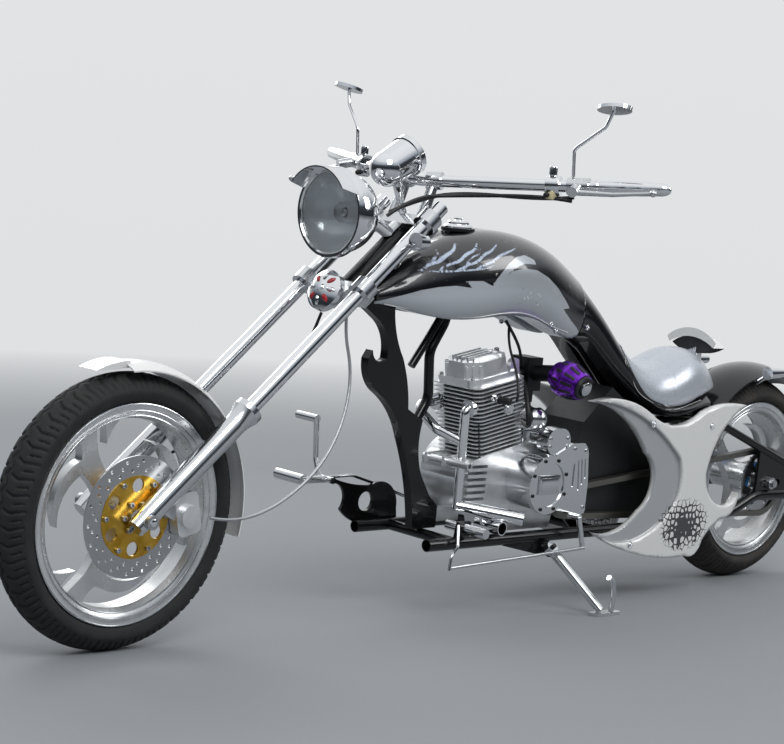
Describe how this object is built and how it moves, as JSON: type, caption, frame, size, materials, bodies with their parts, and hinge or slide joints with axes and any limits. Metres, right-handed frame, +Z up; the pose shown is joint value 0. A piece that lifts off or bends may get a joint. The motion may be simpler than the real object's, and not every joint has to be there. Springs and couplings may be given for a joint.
{
  "type": "motorcycle",
  "caption": "Long, low chopper motorcycle with a raked fork, clawed cast wheels, air-cooled engine and crescent side panels, leaning on its side stand.",
  "frame": {"origin": "centre of the bounding box at ground level", "axes": "+X forward, +Y to the machine's left, +Z up"},
  "size_m": [2.813, 1.1458, 1.2965],
  "materials": {
    "tyre": "satin",
    "cast_silver": "satin",
    "steel": "satin",
    "chain_steel": "satin",
    "polished_alloy": "polished",
    "chrome": "polished",
    "clear_lens": "polished",
    "white_paint": "gloss",
    "black_frame": "gloss",
    "black_paint": "gloss",
    "engine_silver": "satin",
    "purple_alloy": "satin",
    "silver_vinyl": "gloss",
    "black_plastic": "matte",
    "black_rubber": "matte"
  },
  "bodies": {
    "frame": {"chain": "chain_steel", "frame_neck": "black_frame", "frame_spine": "black_frame", "frame_cradle": "black_frame", "rear_stays": "black_frame", "rear_axle": "steel", "crankcase": "engine_silver", "engine_covers": "polished_alloy", "cylinder": "engine_silver", "head_cover": "engine_silver", "starter_motor": "chrome", "carburettor": "polished_alloy", "air_filter": "purple_alloy", "exhaust": "chrome", "fuel_tank": "black_paint", "fuel_cap": "chrome", "rear_cover": "black_paint", "saddle": "silver_vinyl", "side_panels": "white_paint", "rear_fender": "black_paint", "rear_lamps": "chrome", "battery_box": "black_plastic", "foot_controls": "polished_alloy"},
    "steering": {"front_axle": "steel", "fork_sliders": "polished_alloy", "fork_tubes": "chrome", "lower_yoke": "polished_alloy", "upper_yoke": "polished_alloy", "handlebar": "chrome", "grips": "chrome", "levers": "polished_alloy", "mirrors": "chrome", "front_signals": "chrome", "headlight": "chrome", "headlight_lens": "clear_lens", "speedometer": "chrome", "horn": "chrome", "front_fender": "white_paint", "front_caliper": "cast_silver", "front_cables": "black_rubber"},
    "front_wheel": {"front_tyre": "tyre", "front_wheel": "cast_silver", "front_brake_disc": "steel"},
    "rear_wheel": {"rear_tyre": "tyre", "rear_wheel": "cast_silver", "rear_sprocket": "steel"},
    "side_stand": {"side_stand": "steel"}
  },
  "joints": [
    {"name": "steering_turn", "type": "hinge", "parent": "frame", "child": "steering", "pos_m": [0.43182, -0.0082, 0.83873], "axis": [-0.7513, 0.0575, 0.6575], "range_deg": [-30, 30]},
    {"name": "front_wheel_spin", "type": "hinge", "parent": "steering", "child": "front_wheel", "pos_m": [1.1105, -0.05576, 0.29516], "axis": [0, 0.9962, -0.0872], "continuous": true},
    {"name": "rear_wheel_spin", "type": "hinge", "parent": "frame", "child": "rear_wheel", "pos_m": [-1.1175, -0.05637, 0.28818], "axis": [0, 0.9962, -0.0872], "continuous": true},
    {"name": "side_stand_fold", "type": "hinge", "parent": "frame", "child": "side_stand", "pos_m": [-0.1555, 0.07429, 0.15228], "axis": [0.0302, 0.7659, 0.6422], "range_deg": [0, 56]}
  ]
}
